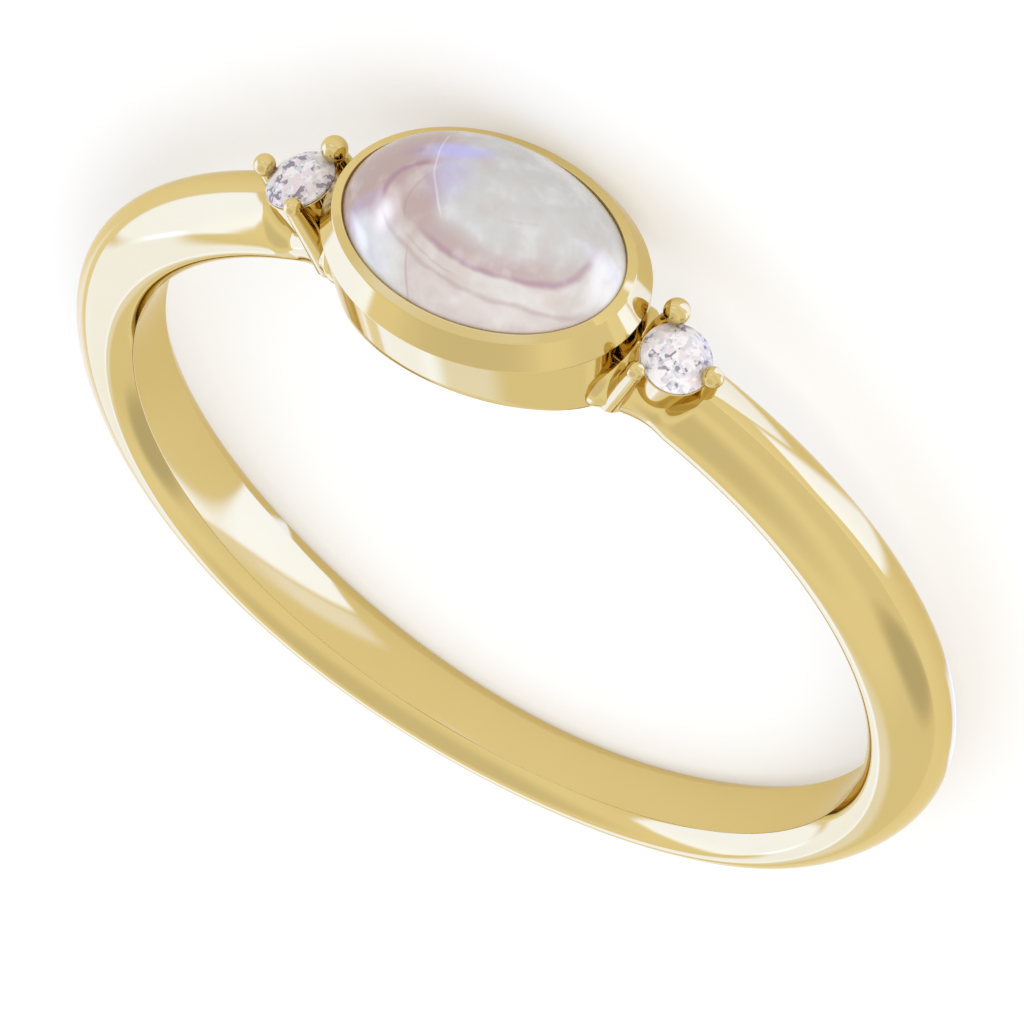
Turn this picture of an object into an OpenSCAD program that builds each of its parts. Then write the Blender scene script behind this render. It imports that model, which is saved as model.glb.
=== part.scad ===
// Ring with an oval cabochon in a closed bezel and a small round brilliant on each side.
// Sizes are in millimetres. The ring lies on its side: the finger runs up through it,
// the stones face -Y and the side of the band that faces the viewer is on top.
// The modules draw the ring as it is worn, with the stone up (+Z) and the finger along Y,
// and lay_down() turns the whole ring onto its side.

/* [Band] */
// Diameter of the finger hole
bore_d = 17.3; // [15.7:0.1:19]
// Width of the band opposite the stone
band_w_back = 1.72; // [1.5:0.02:2.4]
// Width of the band between its back and its side
band_w_low = 2.04; // [1.6:0.02:2.6]
// Width of the band between its side and the shoulder
band_w_high = 1.99; // [1.6:0.02:2.6]
// Width of the band at the shoulder
band_w_shoulder = 1.81; // [1.5:0.02:2.4]
// Thickness of the band opposite the stone
band_t_back = 1.14; // [1:0.02:1.6]
// Thickness of the band between its back and its side
band_t_low = 1.29; // [1:0.02:1.8]
// Thickness of the band between its side and the shoulder
band_t_high = 1.63; // [1.2:0.02:2]
// Thickness of the band at the shoulder
band_t_shoulder = 1.47; // [1.2:0.02:1.8]
// Height of the band's widest line above the finger hole
band_widest_h = 0.46; // [0.3:0.02:0.6]
// How far each inner edge is drawn in from the widest line, opposite the stone
band_inset_back = 0.34; // [0.1:0.02:0.4]
// The same between the back and the side
band_inset_low = 0.38; // [0.1:0.02:0.42]
// The same between the side and the shoulder
band_inset_high = 0.36; // [0.1:0.02:0.42]
// The same at the shoulder
band_inset_shoulder = 0.22; // [0.1:0.02:0.4]
// Squareness of the domed outside, 2 is a true ellipse
band_dome_power = 1.84; // [1.6:0.02:2.6]

/* [Neck under the diamonds] */
// Width of the neck that joins the shoulder to the bezel
neck_w = 1.64; // [1.4:0.02:1.8]
// How far each inner edge of the neck is drawn in from its widest line
neck_inset = 0.12; // [0.06:0.02:0.2]
// How much wider the neck gets where it meets the bezel
neck_flare = 0.8; // [0.6:0.05:1]
// How much thicker the neck gets where it meets the bezel
neck_rise = 0.45; // [0.2:0.05:0.5]
// Thickness of the neck
neck_t = 0.86; // [0.7:0.02:1]
// Angle from the stone at which the shoulder starts to fall to the neck
shoulder_angle = 30.5; // [29.5:0.5:31.5]
// Angle over which the shoulder falls
shoulder_fall = 3.5; // [2.5:0.5:4]

/* [Bezel] */
// Half length of the bezel at its widest line
bezel_a = 3.54; // [3.5:0.02:3.6]
// Half width of the bezel at its widest line
bezel_b = 2.61; // [2.56:0.02:2.7]
// Height of the widest line above the ring's centre, as a rise over the finger hole
bezel_crease_rise = 1.41; // [1.3:0.05:1.5]
// Rise of the lip's outer edge over the finger hole
bezel_lip_rise = 2.02; // [1.95:0.05:2.1]
// How far the lip's outer edge lies inside the widest line
bezel_lip_inset = 0.27; // [0.2:0.01:0.3]
// How far the wall draws in from the widest line down to the finger hole
bezel_foot_inset = 0.16; // [0:0.02:0.25]
// Width of the lip, outer edge to stone
lip_w = 0.2; // [0.15:0.01:0.25]
// Rise of the lip from its outer edge to the stone
lip_rise = 0.09; // [0.05:0.01:0.12]

/* [Cabochon] */
// Half length of the cabochon at its widest
stone_a = 3.15; // [3.1:0.01:3.2]
// Half width of the cabochon at its widest
stone_b = 2.18; // [2.1:0.01:2.22]
// Height of the dome over the cabochon's widest line
stone_dome = 2.34; // [2:0.05:2.4]
// Rise of the cabochon's widest line over the finger hole
stone_girdle_rise = 1.42; // [1.4:0.02:1.5]
// Depth of the cabochon's flat base under its widest line
stone_base = 0.25; // [0.2:0.01:0.3]
// Space between a stone and the gold around it
stone_gap = 0.03; // [0.02:0.01:0.05]

/* [Diamonds and their heads] */
// Diameter of each diamond
diamond_d = 1.5; // [1.4:0.02:1.6]
// Angle between the cabochon and each diamond, seen from the ring's centre
head_angle = 24.85; // [24.5:0.05:25.5]
// Angle by which each diamond's table leans away from the cabochon
head_lean = 22.9; // [20:0.1:25]
// Rise of the diamond's girdle over the finger hole
head_rise = 1.76; // [1.7:0.01:1.85]
// Radius of the outer bead
bead_outer_r = 0.23; // [0.18:0.01:0.26]
// Radius of the inner bead on the side that faces the viewer
bead_near_r = 0.2; // [0.16:0.01:0.24]
// Radius of the inner bead on the far side
bead_far_r = 0.28; // [0.2:0.01:0.3]
// Radius of the prongs under their beads
prong_r = 0.19; // [0.16:0.01:0.2]
// Radius of the inner prongs at their feet
prong_foot_r = 0.3; // [0.24:0.01:0.32]

/* [Hidden] */
bore_r = bore_d / 2;

// Sections of the band, from its back to the shoulder. The first column is the angle.
WIDTH = 1;
THICK = 2;
INSET = 3;
band_sections = [
  [0, band_w_back, band_t_back, band_inset_back],
  [50, band_w_low, band_t_low, band_inset_low],
  [100, band_w_high, band_t_high, band_inset_high],
  [150, band_w_shoulder, band_t_shoulder, band_inset_shoulder],
];
section_step = 50;

function mix(a, b, u) = a + (b - a) * u;
function ease(u) = let (v = min(1, max(0, u))) v * v * (3 - 2 * v);
function deg_power(v, p) = sign(v) * pow(abs(v), p);

// Value of one column at angle a: a smooth curve through the sections, even on both
// sides of the back and straight on past the last section
function section_row(i, col) =
  i < 0 ? band_sections[-i][col] :
  i < len(band_sections) ? band_sections[i][col] :
  2 * band_sections[len(band_sections) - 1][col] - band_sections[2 * len(band_sections) - 2 - i][col];
function section_value(a, col) = let (
    i = floor(a / section_step),
    u = a / section_step - i,
    p0 = section_row(i - 1, col),
    p1 = section_row(i, col),
    p2 = section_row(i + 1, col),
    p3 = section_row(i + 2, col)
  ) p1 + u * (p2 - p0 + u * (2 * p0 - 5 * p1 + 4 * p2 - p3 + u * (3 * (p1 - p2) + p3 - p0))) / 2;

// Share of the neck in the section at angle a from the back, and the neck's flare there
last_section = 160;
flare_start = 151.5;
flare_end = 160;
function neck_share(a) = ease((a - (180 - shoulder_angle)) / shoulder_fall);
function flare(a) = neck_flare
  * pow(min(1, max(0, (a - flare_start) / (flare_end - flare_start))), 2);
function band_width(a) =
  mix(section_value(min(a, last_section), WIDTH), neck_w, neck_share(a)) + flare(a);
function band_thick(a) = mix(section_value(min(a, last_section), THICK), neck_t, neck_share(a))
  + neck_rise * ease((a - flare_start) / (flare_end - flare_start));
function band_inset(a) = mix(section_value(min(a, last_section), INSET), neck_inset, neck_share(a));

// One section: [along the finger, out from the finger hole], from the near inner edge
// over the dome to the far inner edge. Each flank is a parabola above the finger hole, and
// its lowest side runs straight on below it, so that the bore cuts the section's corners.
dome_steps = 10;
flank_steps = 2;
flank_below = 0.15;
first_flank_h = band_widest_h / flank_steps;
function flank_curve(q) = pow(1 - q / band_widest_h, 2);
function flank_share(q) = q >= 0
  ? flank_curve(q)
  : mix(flank_curve(0), flank_curve(first_flank_h), q / first_flank_h);
flank_heights = concat([-flank_below], [for (i = [1 : flank_steps - 1]) i * first_flank_h]);
function band_section(w, t, inset) = concat(
  [for (q = flank_heights) [-w / 2 + inset * flank_share(q), q]],
  [for (i = [0 : dome_steps]) let (f = 180 - 180 * i / dome_steps)
    [w / 2 * deg_power(cos(f), 2 / band_dome_power),
     band_widest_h + (t - band_widest_h) * pow(sin(f), 2 / band_dome_power)]],
  [for (i = [len(flank_heights) - 1 : -1 : 0]) let (q = flank_heights[i])
    [w / 2 - inset * flank_share(q), q]]
);

// Angles of the sections: wide steps round the band, short ones where the shoulder falls,
// and middling ones where the neck flares
wide_step = 5;
short_step = 0.7;
flare_step = 1.4;
sweep_end = 166;
fall_start = 180 - shoulder_angle;
fall_end = fall_start + shoulder_fall;
half_angles = concat(
  [for (a = [0 : wide_step : fall_start - wide_step / 2]) a],
  [for (a = [fall_start : short_step : fall_end - short_step / 2]) a],
  [for (a = [fall_end : flare_step : flare_end - flare_step / 2]) a],
  [flare_end, sweep_end]
);
sweep_angles = concat(
  [for (i = [len(half_angles) - 1 : -1 : 1]) -half_angles[i]],
  half_angles
);

// Triangles that close a ring of n points, from its ends towards its middle
function strips(n) = [for (j = [0 : ceil(n / 2) - 2])
  each concat([[j, j + 1, n - 1 - j]], j + 1 < n - 2 - j ? [[j + 1, n - 2 - j, n - 1 - j]] : [])];

// Closed solid through rings of points, all with the same count
module skin(rings) {
  n = len(rings[0]);
  last = len(rings) - 1;
  points = [for (ring = rings) for (p = ring) p];
  walls = [for (i = [0 : last - 1]) for (j = [0 : n - 1]) let (k = (j + 1) % n)
    each [[i * n + j, (i + 1) * n + k, i * n + k], [i * n + j, (i + 1) * n + j, (i + 1) * n + k]]];
  first_cap = strips(n);
  last_cap = [for (t = strips(n)) [last * n + t[2], last * n + t[1], last * n + t[0]]];
  polyhedron(points, concat(first_cap, walls, last_cap), convexity = 8);
}

// The band and its two necks, open where the bezel sits
module band() {
  skin([for (a = sweep_angles)
    [for (p = band_section(band_width(abs(a)), band_thick(abs(a)), band_inset(abs(a))))
      [sin(a) * (bore_r + p[1]), p[0], -cos(a) * (bore_r + p[1])]]]);
}

// Ring of points on an oval
oval_steps = 60;
function oval(a, b, z) = [for (i = [0 : oval_steps - 1]) let (f = 360 * (i + 0.5) / oval_steps)
  [a * cos(f), b * sin(f), z]];

// Outside of the bezel from inside the finger hole up to the lip
foot_below = 1;
module bezel_body() {
  crease_z = bore_r + bezel_crease_rise;
  lip_z = bore_r + bezel_lip_rise;
  foot_z = bore_r - foot_below;
  foot_in = bezel_foot_inset * (crease_z - foot_z) / bezel_crease_rise;
  skin([
    oval(bezel_a - foot_in, bezel_b - foot_in, foot_z),
    oval(bezel_a, bezel_b, crease_z),
    oval(bezel_a - bezel_lip_inset, bezel_b - bezel_lip_inset, lip_z),
    oval(bezel_a - bezel_lip_inset - lip_w, bezel_b - bezel_lip_inset - lip_w, lip_z + lip_rise),
  ]);
}

// Cabochon, or the room for it when room is more than 0
module cabochon(room) {
  translate([0, 0, bore_r + stone_girdle_rise])
    difference() {
      scale([stone_a + room, stone_b + room, stone_dome + room]) sphere(r = 1, $fn = 96);
      translate([-2 * stone_a, -2 * stone_b, -2 * stone_dome - stone_base - room])
        cube([4 * stone_a, 4 * stone_b, 2 * stone_dome]);
    }
}

// Places its children with the diamond's girdle plane as z = 0 and the table up.
// side is -1 for the left head and 1 for the right one, u runs out along the band.
module at_head(side) {
  scale_r = bore_r + head_rise;
  translate([side * scale_r * sin(head_angle), 0, scale_r * cos(head_angle)])
    rotate([0, side * head_lean, 0])
      children();
}

// Pyramid of eight sides around the diamond's axis. Its sides lean by angle, and pass
// through the point at distance r and height h, in the directions turn + 45 i.
sides = 8;
module pyramid(turn, angle, r, h, low) {
  tip = h + r * tan(angle);
  rotate([0, 0, turn + 180 / sides])
    translate([0, 0, low])
      cylinder(h = tip - low, r1 = (tip - low) / tan(angle) / cos(180 / sides), r2 = 0, $fn = sides);
}

// Round brilliant: table, 8 stars, 8 kites, 16 upper and 16 lower girdle facets
// and 8 pavilion mains
table_share = 0.57;
kite_angle = 34.5;
star_angle = 22;
upper_angle = 40;
main_angle = 40.8;
lower_angle = 41.5;
girdle_share = 0.03;
half_turn = 11.25;
module brilliant() {
  r = diamond_d / 2;
  half_girdle = girdle_share * r;
  table_r = table_share * r;
  table_h = half_girdle + (r - table_r) * tan(kite_angle);
  depth = half_girdle + r * tan(main_angle);
  intersection() {
    translate([0, 0, -depth - r]) cylinder(h = depth + r + table_h, r = r, $fn = 64);
    pyramid(0, kite_angle, r, half_girdle, -depth - r);
    pyramid(2 * half_turn, star_angle, table_r * cos(2 * half_turn), table_h, -depth - r);
    pyramid(half_turn, upper_angle, r, half_girdle, -depth - r);
    pyramid(-half_turn, upper_angle, r, half_girdle, -depth - r);
    mirror([0, 0, 1]) pyramid(0, main_angle, r, half_girdle, -table_h - r);
    mirror([0, 0, 1]) pyramid(half_turn, lower_angle, r, half_girdle, -table_h - r);
    mirror([0, 0, 1]) pyramid(-half_turn, lower_angle, r, half_girdle, -table_h - r);
  }
}

// Room that a diamond needs in the gold: over the girdle it follows the crown to crown_share
// of the crown's height
crown_share = 0.6;
module diamond_room() {
  r = diamond_d / 2 + stone_gap;
  half_girdle = girdle_share * r + stone_gap;
  depth = half_girdle + r * tan(main_angle);
  top = half_girdle + crown_share * r * tan(kite_angle);
  rotate_extrude($fn = 48)
    polygon([[0, -depth], [r, -half_girdle], [r, half_girdle], [(1 - crown_share) * r, top], [0, top]]);
}

// Round bar from point p, where its radius is r1, to point q, where it is r2
module bar(p, q, r1, r2) {
  d = q - p;
  translate(p)
    rotate([0, acos(d[2] / norm(d)), atan2(d[1], d[0])])
      cylinder(h = norm(d), r1 = r1, r2 = r2, $fn = 24);
}

// Beads of one head: direction around the diamond, radius of their centres, bead radius.
// Directions are from the outer end of the band towards the far side.
bead_h = 0.27;
inner_turn = 127;
outer_reach = 0.8;
inner_reach = 0.9;
DIRECTION = 0;
REACH = 1;
RADIUS = 2;
beads = [
  [0, outer_reach, bead_outer_r],
  [inner_turn, inner_reach, bead_far_r],
  [-inner_turn, inner_reach, bead_near_r],
];
// Where the prongs end, in the head's own frame: the inner ones run down beside the bezel
// into the neck, and the outer one into the end of the shoulder
inner_foot = [-0.54, 0.8, -1.62];
outer_foot = [0.92, 0, -1.1];
outer_foot_r = 0.2;

// Cup under the diamond, and its three prongs
module head_metal() {
  cup_top = -0.03;
  cup_low = -1.1;
  cup_foot_r = 0.68;
  translate([0, 0, cup_low])
    cylinder(h = cup_top - cup_low, r1 = cup_foot_r, r2 = diamond_d / 2 + stone_gap, $fn = 48);
  for (b = beads) {
    tip = [b[REACH] * cos(b[DIRECTION]), b[REACH] * sin(b[DIRECTION]), bead_h];
    outer = b[DIRECTION] == 0;
    foot = outer ? outer_foot : [inner_foot[0], inner_foot[1] * sign(tip[1]), inner_foot[2]];
    translate(tip) sphere(r = b[RADIUS], $fn = 32);
    bar(tip, foot, prong_r, outer ? outer_foot_r : prong_foot_r);
  }
}

// Turns the worn ring onto its side and sets it on the ground. It rests on the widest line
// of the bezel's far side and on the far side of the band opposite the stone.
crease_r = bore_r + bezel_crease_rise;
rest_tilt = atan((bezel_b - band_w_back / 2) / (crease_r + bore_r + band_widest_h));
rest_height = bezel_b * cos(rest_tilt) - crease_r * sin(rest_tilt);
// How far the lying ring reaches in front of the finger's axis and behind it
dual_power = band_dome_power / (band_dome_power - 1);
front_reach = (bore_r + stone_girdle_rise) * cos(rest_tilt)
  + norm([stone_dome * cos(rest_tilt), stone_b * sin(rest_tilt)]);
back_reach = (bore_r + band_widest_h) * cos(rest_tilt)
  + pow(pow((band_t_back - band_widest_h) * cos(rest_tilt), dual_power)
    + pow(band_w_back / 2 * sin(rest_tilt), dual_power), 1 / dual_power);
centre_shift = (front_reach - back_reach) / 2;
module lay_down() {
  translate([0, centre_shift, rest_height])
    rotate([-rest_tilt, 0, 0])
      multmatrix([[-1, 0, 0, 0], [0, 0, -1, 0], [0, -1, 0, 0], [0, 0, 0, 1]])
        children();
}

module gold_mounting() {
  color([0.85, 0.7, 0.4])
    lay_down()
      difference() {
        union() {
          band();
          bezel_body();
          at_head(1) head_metal();
          mirror([1, 0, 0]) at_head(1) head_metal();
        }
        rotate([90, 0, 0]) cylinder(h = 8, r = bore_r, center = true, $fn = 180);
        cabochon(stone_gap);
        at_head(1) diamond_room();
        mirror([1, 0, 0]) at_head(1) diamond_room();
      }
}

module moonstone() {
  color([0.9, 0.88, 0.92])
    lay_down() cabochon(0);
}

module left_diamond() {
  color([0.95, 0.95, 0.97])
    lay_down() at_head(-1) brilliant();
}

module right_diamond() {
  color([0.95, 0.95, 0.97])
    lay_down() at_head(1) brilliant();
}

gold_mounting();
moonstone();
left_diamond();
right_diamond();
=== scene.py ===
"""Dresses the cabochon ring: smooth polished gold, a milky moonstone and two small brilliants.

The ring lies on its side on a pale floor. Its shapes are drawn as the ring is worn, with the
stone up (+Z) and the finger along Y, and one matrix then lays them down where the frame is.
"""
from math import asin, atan, cos, degrees, floor, hypot, pi, radians, sin, sqrt, tan

import bmesh
import bpy
from bpy.props import FloatProperty, FloatVectorProperty, PointerProperty
from mathutils import Matrix, Vector


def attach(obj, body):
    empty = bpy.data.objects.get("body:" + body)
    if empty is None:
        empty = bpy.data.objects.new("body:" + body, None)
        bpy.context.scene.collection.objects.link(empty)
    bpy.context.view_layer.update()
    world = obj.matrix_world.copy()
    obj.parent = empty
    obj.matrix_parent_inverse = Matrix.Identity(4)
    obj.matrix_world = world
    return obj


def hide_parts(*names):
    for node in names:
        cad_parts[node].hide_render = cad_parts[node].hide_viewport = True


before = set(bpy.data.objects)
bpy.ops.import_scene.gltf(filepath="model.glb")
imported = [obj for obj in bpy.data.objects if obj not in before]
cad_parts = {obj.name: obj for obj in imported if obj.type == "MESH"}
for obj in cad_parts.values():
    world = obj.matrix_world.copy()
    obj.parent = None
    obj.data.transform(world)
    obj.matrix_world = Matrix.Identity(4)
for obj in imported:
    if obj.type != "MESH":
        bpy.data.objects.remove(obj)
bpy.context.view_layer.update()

bl_info = {
    "name": "Cabochon ring",
    "version": (1, 0, 0),
    "blender": (4, 5, 0),
    "location": "View3D > Sidebar > Ring",
    "description": "Gold ring with an oval moonstone between two small brilliants, lying on a pale floor",
    "category": "Add Mesh",
}

BODY = "root"
MM = 0.001


# Settings that a user would change

def length(name, description, mm):
    """A length whose default is given in millimetres."""
    return FloatProperty(
        name=name, description=description, default=mm * MM, min=0, unit="LENGTH", precision=5
    )


def offset(name, description, mm):
    """A length that may be negative, with its default in millimetres."""
    return FloatProperty(name=name, description=description, default=mm * MM, unit="LENGTH", precision=5)


def turn(name, description, angle):
    """An angle whose default is given in degrees."""
    return FloatProperty(name=name, description=description, default=radians(angle), unit="ROTATION")


def level(name, description, brightness):
    """A brightness as a plain number."""
    return FloatProperty(name=name, description=description, default=brightness, min=0)


def colour(name, description, rgb):
    """A colour whose default is given as red, green and blue."""
    return FloatVectorProperty(
        name=name, description=description, default=rgb, subtype="COLOR", min=0, max=1
    )


class RingBandSizes(bpy.types.PropertyGroup):
    """Sizes of the band and of the necks that join it to the bezel"""

    hole_diameter: length("Finger hole", "Diameter of the finger hole", 17.3)
    back_width: length("Back width", "Width of the band opposite the stone", 1.72)
    low_width: length("Low width", "Width of the band between its back and its side", 2.04)
    high_width: length("High width", "Width of the band between its side and the shoulder", 1.99)
    shoulder_width: length("Shoulder width", "Width of the band at the shoulder", 1.81)
    back_thickness: length("Back thickness", "Thickness of the band opposite the stone", 1.14)
    low_thickness: length("Low thickness", "Thickness of the band between its back and its side", 1.29)
    high_thickness: length("High thickness", "Thickness of the band between its side and the shoulder", 1.63)
    shoulder_thickness: length("Shoulder thickness", "Thickness of the band at the shoulder", 1.47)
    widest_height: length("Widest line", "Height of the widest line above the finger hole", 0.46)
    back_inset: length("Back inset", "How far the inner edges are drawn in, opposite the stone", 0.34)
    low_inset: length("Low inset", "How far the inner edges are drawn in between back and side", 0.38)
    high_inset: length("High inset", "How far the inner edges are drawn in between side and shoulder", 0.36)
    shoulder_inset: length("Shoulder inset", "How far the inner edges are drawn in at the shoulder", 0.22)
    edge_round: length("Edge rounding", "Radius of the polished inner edges", 0.07)
    dome_power: FloatProperty(
        name="Dome power", description="Squareness of the domed outside", default=1.84, min=1.5, max=3
    )
    neck_width: length("Neck width", "Width of the neck under each diamond", 1.64)
    neck_thickness: length("Neck thickness", "Thickness of the neck under each diamond", 0.86)
    neck_inset: length("Neck inset", "How far the inner edges of the neck are drawn in", 0.12)
    neck_flare: length("Neck flare", "How much wider the neck gets where it meets the bezel", 0.8)
    neck_rise: length("Neck rise", "How much thicker the neck gets where it meets the bezel", 0.45)
    shoulder_angle: turn("Shoulder angle", "Angle from the stone at which the shoulder falls", 30.5)
    shoulder_fall: turn("Shoulder fall", "Angle over which the shoulder falls", 3.5)


class RingBezelSizes(bpy.types.PropertyGroup):
    """Sizes of the bezel and the cabochon in it"""

    half_length: length("Half length", "Half length of the bezel at its widest line", 3.54)
    half_width: length("Half width", "Half width of the bezel at its widest line", 2.61)
    crease_rise: length("Widest line", "Rise of the widest line over the finger hole", 1.41)
    lip_rise: length("Lip", "Rise of the lip's outer edge over the finger hole", 2.02)
    lip_inset: length("Lip inset", "How far the lip's outer edge lies inside the widest line", 0.27)
    foot_inset: length("Foot inset", "How far the wall draws in down to the finger hole", 0.16)
    lip_width: length("Lip width", "Width of the lip, outer edge to stone", 0.2)
    lip_slope: length("Lip slope", "Rise of the lip from its outer edge to the stone", 0.09)
    edge_round: length("Edge rounding", "Radius of the bezel's polished edges", 0.06)
    stone_half_length: length("Half stone length", "Half length of the cabochon", 3.15)
    stone_half_width: length("Half stone width", "Half width of the cabochon", 2.18)
    stone_dome: length("Dome", "Height of the dome over the cabochon's widest line", 2.34)
    stone_rise: length("Stone rise", "Rise of the cabochon's widest line over the finger hole", 1.42)
    stone_base: length("Stone base", "Depth of the flat base under the widest line", 0.25)


class RingHeadSizes(bpy.types.PropertyGroup):
    """Sizes of the two small heads that hold the diamonds"""

    diamond_diameter: length("Diamond", "Diameter of each diamond", 1.5)
    angle: turn("Angle", "Angle between the cabochon and each diamond", 24.85)
    lean: turn("Lean", "Lean of each diamond's table away from the cabochon", 22.9)
    rise: length("Rise", "Rise of the diamond's girdle over the finger hole", 1.76)
    outer_bead: length("Outer bead", "Radius of the outer bead", 0.23)
    near_bead: length("Near bead", "Radius of the inner bead on the upper side", 0.2)
    far_bead: length("Far bead", "Radius of the inner bead on the lower side", 0.28)
    bead_height: length("Bead height", "Height of the beads over the girdle", 0.27)
    outer_reach: length("Outer reach", "Distance of the outer bead from the diamond's axis", 0.8)
    inner_reach: length("Inner reach", "Distance of the inner beads from the diamond's axis", 0.9)
    inner_turn: turn("Inner turn", "Direction of the inner beads, from the outer one", 127)
    prong: length("Prong", "Radius of the prongs under their beads", 0.19)
    prong_foot: length("Prong foot", "Radius of the inner prongs at their feet", 0.30)
    seat_gap: length("Seat gap", "Space between a diamond and its cup", 0.03)


class RingFinishColours(bpy.types.PropertyGroup):
    """Colours of the gold and the stones"""

    gold: colour("Gold", "Colour of the polished gold", (0.69, 0.54, 0.23))
    gold_warm: colour("Warm gold", "Colour of the gold where it is a little redder", (0.66, 0.50, 0.19))
    gold_edge: colour("Gold edge", "Tint of what the gold mirrors at a flat angle", (0.93, 0.86, 0.66))
    milk: colour("Milk", "Body colour of the moonstone", (0.56, 0.50, 0.47))
    mauve: colour("Mauve", "Grey mauve of the moonstone's left end and clouds", (0.44, 0.33, 0.31))
    rose: colour("Rose", "Rose brown band round the moonstone's middle", (0.44, 0.35, 0.34))
    blush: colour("Blush", "Pinkish white of the moonstone's near side", (0.585, 0.525, 0.505))
    aqua: colour("Aqua", "Cool grey of the moonstone's middle", (0.51, 0.50, 0.49))
    ice: colour("Ice", "Cool white patches in the moonstone's near side", (0.62, 0.62, 0.60))
    flash: colour("Flash", "Blue violet flash of the moonstone", (0.46, 0.44, 0.74))
    violet: colour("Violet", "Fine violet lines in the moonstone", (0.36, 0.21, 0.28))
    # Light is also the white of the painted highlights on the moonstone's dome; it tints a fine pale line
    # and the pale clouds too
    light: colour("Light", "White patches and lines in the moonstone", (0.92, 0.92, 0.94))
    # The brilliants' colours are painted reflections: a near white for bright facets, a grey and a dark
    # lilac for facets that mirror darker surroundings, and the rosy petal for rosy glints
    diamond: colour("Diamond", "Colour of the brilliants", (0.76, 0.73, 0.73))
    grey_reflection: colour("Silver", "Colour of the greyer facets of the brilliants", (0.58, 0.57, 0.60))
    dark_reflection: colour("Lilac", "Colour of the darkest facets of the brilliants", (0.27, 0.23, 0.28))
    petal: colour("Petal", "Rosy colour in the brilliants and the moonstone", (0.69, 0.60, 0.62))


class RingStageSettings(bpy.types.PropertyGroup):
    """Floor, light and camera"""

    floor_radius: length("Floor", "Radius of the floor", 600)
    floor_tone: colour("Floor colour", "Colour of the pale floor", (0.60, 0.60, 0.60))
    fill: level("Fill", "Brightness of the even light from all sides", 1.0)
    glow: level("Glow", "Brightness of the floor by itself", 0.38)
    key: level("Key", "Brightness of the softboxes that show in the gold", 2.4)
    key_tint: colour("Key tint", "Cool colour of these softboxes, which makes their highlights cream",
                     (0.13, 0.26, 1.0))
    stone_key: level("Stone key", "Brightness of the softbox that lights the stones and the floor", 3.6)
    azimuth: turn("Azimuth", "Direction of the camera round the worn ring", 36.129)
    elevation: turn("Elevation", "Height of the camera over the worn ring", 57.274)
    roll: turn("Roll", "Roll of the camera", -5.991)
    distance: length("Distance", "Distance from the camera to the ring", 508.8)
    picture_width: length("Picture width", "Width of the picture at the ring", 20.678)
    aim_x: offset("Aim X", "Where the camera aims, along X of the worn ring", -0.037)
    aim_z: offset("Aim Z", "Where the camera aims, along Z of the worn ring", 0.429)


# Shapes

def mix(a, b, u):
    """Value at share u of the way from a to b."""
    return a + (b - a) * u


def ease(u):
    """Soft step from 0 to 1 while u goes from 0 to 1."""
    v = min(1, max(0, u))
    return v * v * (3 - 2 * v)


def signed_power(value, power):
    """Power of the size of a value, with the sign of the value."""
    return (1 if value >= 0 else -1) * abs(value) ** power


def lay_down(band, bezel):
    """Matrix from the worn ring to the ring that lies on its side, as the frame has it.

    It rests on the bezel's widest line and on the side of the band opposite the stone, which
    tilts it a little, and it is centred along Y."""
    hole_radius = band.hole_diameter / 2
    crease_radius = hole_radius + bezel.crease_rise
    widest_radius = hole_radius + band.widest_height
    width_change = bezel.half_width - band.back_width / 2
    tilt = atan(width_change / (crease_radius + hole_radius + band.widest_height))
    height = bezel.half_width * cos(tilt) - crease_radius * sin(tilt)
    dome_reach = hypot(bezel.stone_dome * cos(tilt), bezel.stone_half_width * sin(tilt))
    front = (hole_radius + bezel.stone_rise) * cos(tilt) + dome_reach
    dual_power = band.dome_power / (band.dome_power - 1)
    back_dome = ((band.back_thickness - band.widest_height) * cos(tilt)) ** dual_power
    back_side = (band.back_width / 2 * sin(tilt)) ** dual_power
    back = widest_radius * cos(tilt) + (back_dome + back_side) ** (1 / dual_power)
    onto_side = Matrix(((-1, 0, 0, 0), (0, 0, -1, 0), (0, -1, 0, 0), (0, 0, 0, 1)))
    return Matrix.Translation((0, (front - back) / 2, height)) @ Matrix.Rotation(-tilt, 4, "X") @ onto_side


def rounded(points, radii, steps=6):
    """2D polyline with a rounding of the given radius at each inner corner where it isn't 0.

    Each rounding has a close support point before and after it, which keeps the shading of
    the flats beside it flat."""
    support = 0.25
    least_slope = 0.2
    made = [points[0]]
    for i in range(1, len(points) - 1):
        if radii[i] == 0:
            made.append(points[i])
            continue
        corner = Vector(points[i])
        before = (Vector(points[i - 1]) - corner).normalized()
        after = (Vector(points[i + 1]) - corner).normalized()
        cut = radii[i] / max(least_slope, tan(before.angle(after) / 2))
        start = corner + before * cut
        end = corner + after * cut
        made.append(tuple(start + before * cut * support))
        for k in range(steps + 1):
            s = k / steps
            made.append(tuple(start * (1 - s) ** 2 + corner * 2 * s * (1 - s) + end * s ** 2))
        made.append(tuple(end + after * cut * support))
    made.append(points[-1])
    return made


def linked(name, data):
    """New object of a mesh, a light or a camera, linked to the scene."""
    made = bpy.data.objects.new(name, data)
    bpy.context.scene.collection.objects.link(made)
    return made


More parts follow.
